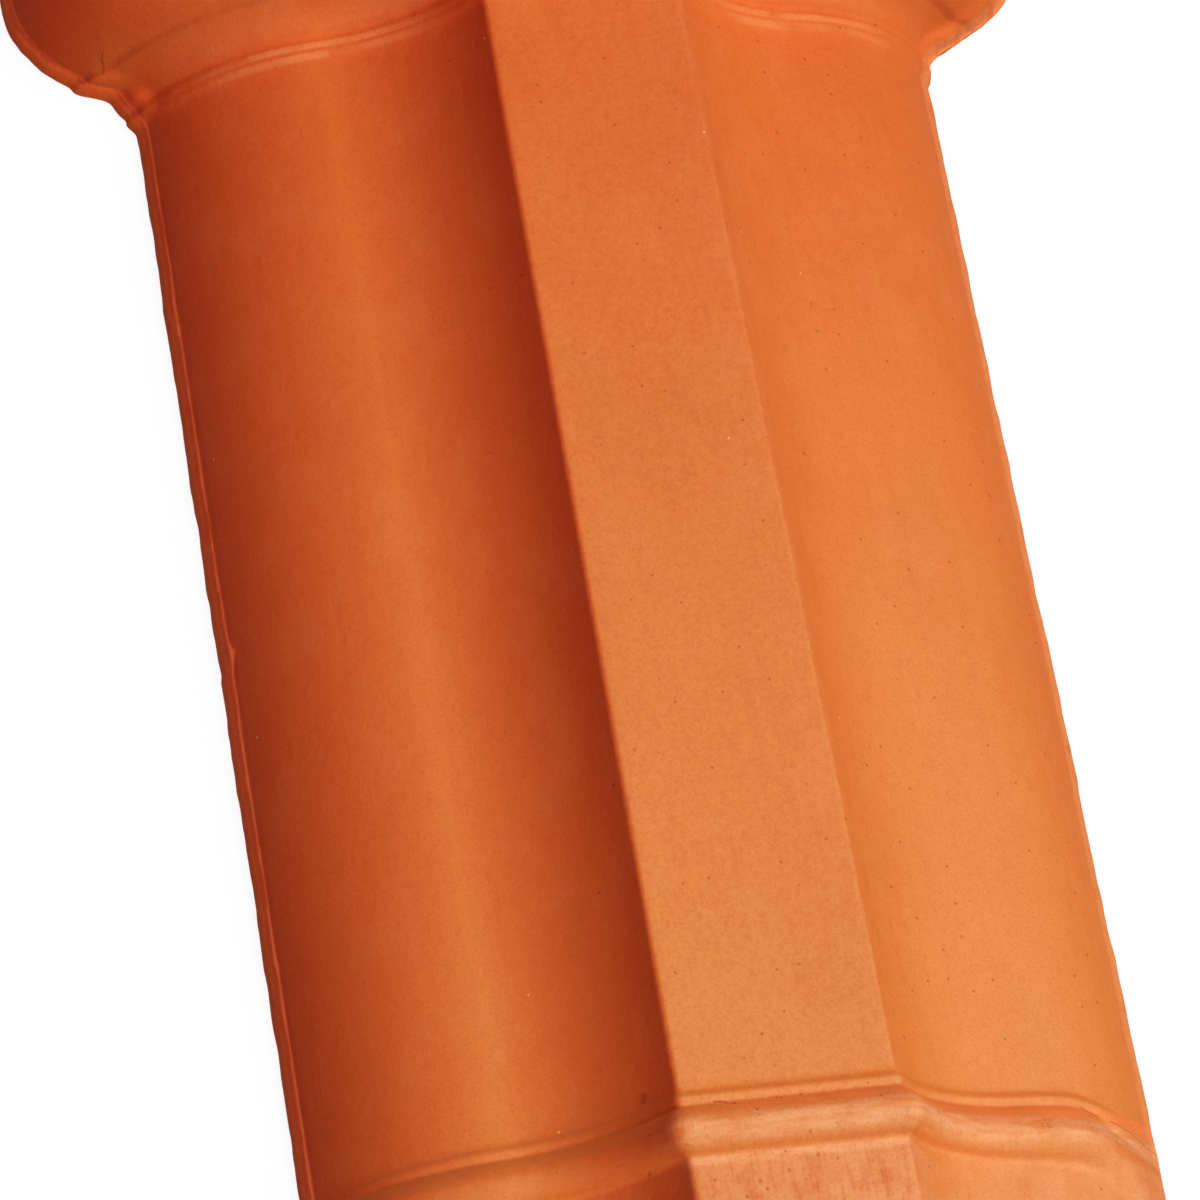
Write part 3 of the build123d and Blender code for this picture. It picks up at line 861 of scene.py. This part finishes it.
amount = addNode(tree, "ShaderNodeMath", {"operation": "MULTIPLY", 1: clay["crackStrength"]},
                 {0: cracked}).outputs[0]
color = addNode(tree, "ShaderNodeMix", {"data_type": "RGBA", 7: hexToLinear(clay["crack"])},
                {0: amount, 6: color}).outputs[2]

# the relief's heights are in mm
relief = addNode(tree, "ShaderNodeBump", {"Strength": 1.0, "Distance": 1 / mmPerMetre}, {"Height": height})
shader = addNode(tree, "ShaderNodeBsdfPrincipled",
                 {"Roughness": clay["roughness"], "IOR": clay["ior"],
                  "Specular IOR Level": clay["specular"]},
                 {"Base Color": color, "Normal": relief.outputs[0]})
addNode(tree, "ShaderNodeOutputMaterial", links={"Surface": shader.outputs["BSDF"]})
tileMesh.materials.append(clayMaterial)
print("fired terracotta made:", len(tree.nodes), "nodes")

# paper floor, matt: white to the eye with a faint shadow, a mild warm grey to the light that bounces off it
ground = {"size": 6.0, "drop": 0.0005, "white": "#FFFFFF", "bounce": "#7A6A62", "shade": 0.10}
bpy.ops.mesh.primitive_plane_add(size=ground["size"], location=(0, 0, -ground["drop"]))
floor = bpy.context.active_object
floor.name = "floor"
paperFloor = bpy.data.materials.new("paperFloor")
paperFloor.use_nodes = True
tree = paperFloor.node_tree
tree.nodes.clear()
glow = addNode(tree, "ShaderNodeEmission", {"Color": hexToLinear(ground["white"]), "Strength": 1.0})
paper = addNode(tree, "ShaderNodeBsdfDiffuse", {"Color": hexToLinear(ground["white"])})
toEye = addNode(tree, "ShaderNodeMixShader", {0: ground["shade"]}, {1: glow.outputs[0], 2: paper.outputs[0]})
bounce = addNode(tree, "ShaderNodeBsdfDiffuse", {"Color": hexToLinear(ground["bounce"])})
mixed = addNode(tree, "ShaderNodeMixShader", None,
                {0: seenByEye(tree), 1: bounce.outputs[0], 2: toEye.outputs[0]})
addNode(tree, "ShaderNodeOutputMaterial", links={"Surface": mixed.outputs[0]})
floor.data.materials.append(paperFloor)
print("floor laid")

# soft studio light: a broad key high on the right, a fill in front and a low rim of light behind
room = {"color": "#FFF0EA", "strength": 0.03}
lamps = {
    "key": {"azimuth": 65.0, "elevation": 62.0, "angle": 50.0, "strength": 2.88, "color": "#FFFFFF"},
    "front": {"azimuth": 355.0, "elevation": 45.0, "angle": 60.0, "strength": 0.86, "color": "#FFE4D8"},
    "behind": {"azimuth": 180.0, "elevation": 12.0, "angle": 45.0, "strength": 0.80, "color": "#FFE4D8"},
}
world = bpy.data.worlds.new("studio")
bpy.context.scene.world = world
world.use_nodes = True
tree = world.node_tree
tree.nodes.clear()
dim = addNode(tree, "ShaderNodeBackground",
              {"Color": hexToLinear(room["color"]), "Strength": room["strength"]})
white = addNode(tree, "ShaderNodeBackground", {"Color": hexToLinear(ground["white"]), "Strength": 1.0})
sky = addNode(tree, "ShaderNodeMixShader", None,
              {0: seenByEye(tree), 1: dim.outputs[0], 2: white.outputs[0]})
addNode(tree, "ShaderNodeOutputWorld", links={"Surface": sky.outputs[0]})
for name, lamp in lamps.items():
    lampData = bpy.data.lights.new(name, "SUN")
    lampData.energy = lamp["strength"]
    lampData.angle = math.radians(lamp["angle"])
    lampData.color = hexToLinear(lamp["color"])[:3]
    lampObject = bpy.data.objects.new(name, lampData)
    bpy.context.scene.collection.objects.link(lampObject)
    toLamp = lookFrom(lamp["azimuth"], lamp["elevation"])
    lampObject.rotation_euler = toLamp.to_track_quat("Z", "Y").to_euler()
print("light set")

# camera at the photograph's viewing angle: degrees, metres, and the lens in mm
eye = {
    "azimuth": -30.78,
    "elevation": 63.29,
    "roll": 23.38,
    "distance": 1.5599,
    "lens": 171.92,
    "sensor": 36,
    "clipEnd": 50,
    "target": (-0.00805, -0.01205, 0.00043),
}
turn, roll = math.radians(eye["azimuth"]), math.radians(eye["roll"])
back = lookFrom(eye["azimuth"], eye["elevation"])
level = Vector((math.cos(turn), math.sin(turn), 0))
upward = back.cross(level)
right = level * math.cos(roll) + upward * math.sin(roll)
up = -level * math.sin(roll) + upward * math.cos(roll)
cameraData = bpy.data.cameras.new("camera")
cameraData.sensor_width = eye["sensor"]
cameraData.lens = eye["lens"]
cameraData.clip_end = eye["clipEnd"]
camera = bpy.data.objects.new("camera", cameraData)
bpy.context.scene.collection.objects.link(camera)
stand = Matrix.Translation(Vector(eye["target"]) + back * eye["distance"])
camera.matrix_world = stand @ Matrix((right, up, back)).transposed().to_4x4()
bpy.context.scene.camera = camera
bpy.context.scene.view_settings.view_transform = "Standard"
print("camera set")
